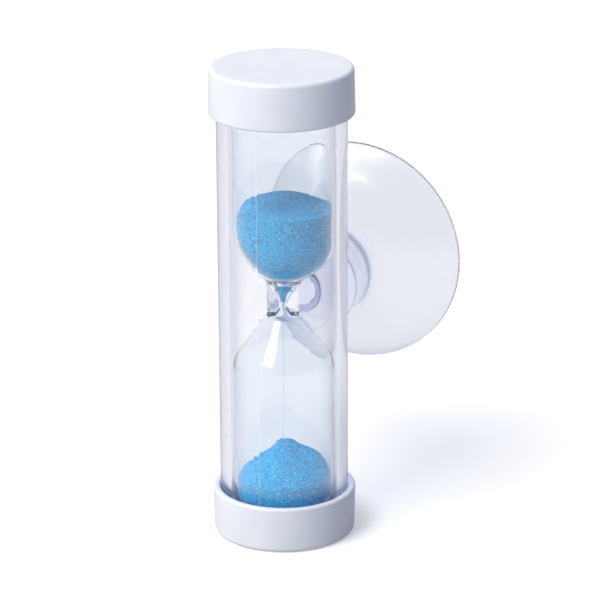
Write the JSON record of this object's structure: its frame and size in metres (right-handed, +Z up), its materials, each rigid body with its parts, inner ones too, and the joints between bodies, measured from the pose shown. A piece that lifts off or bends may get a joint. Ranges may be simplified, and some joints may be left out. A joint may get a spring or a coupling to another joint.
{
  "type": "sand timer",
  "caption": "Sand timer in a clear tube with end caps, blown glass bulb and blue sand, turning on the stud of a clear suction cup.",
  "frame": {"origin": "centre of the lower cap's underside", "axes": "+Z up along the tube, +Y out along the suction cup's axis, towards the wall that it sticks to"},
  "size_m": [0.043, 0.0473, 0.09],
  "materials": {
    "clear_acrylic": "clear extruded acrylic, polished",
    "white_abs": "white moulded ABS, satin gloss",
    "foam": "white closed-cell foam",
    "blown_glass": "clear lamp-blown glass",
    "plug_rubber": "white rubber, matt",
    "blue_sand": "dyed fine sand with bright grains",
    "clear_pvc": "clear soft PVC, glossy"
  },
  "bodies": {
    "timer": {"outer_tube": "clear_acrylic", "bottom_cap": "white_abs", "top_cap": "white_abs", "bottom_pad": "foam", "top_pad": "foam", "glass_bulb": "blown_glass", "filling_plug": "plug_rubber", "upper_sand": "blue_sand", "lower_sand": "blue_sand", "falling_sand": "blue_sand"},
    "cup": {"suction_cup": "clear_pvc"}
  },
  "joints": [
    {"name": "cup_swivel", "type": "hinge", "parent": "timer", "child": "cup", "pos_m": [0, 0, 0.045], "axis": [0, 1, 0], "continuous": true}
  ]
}
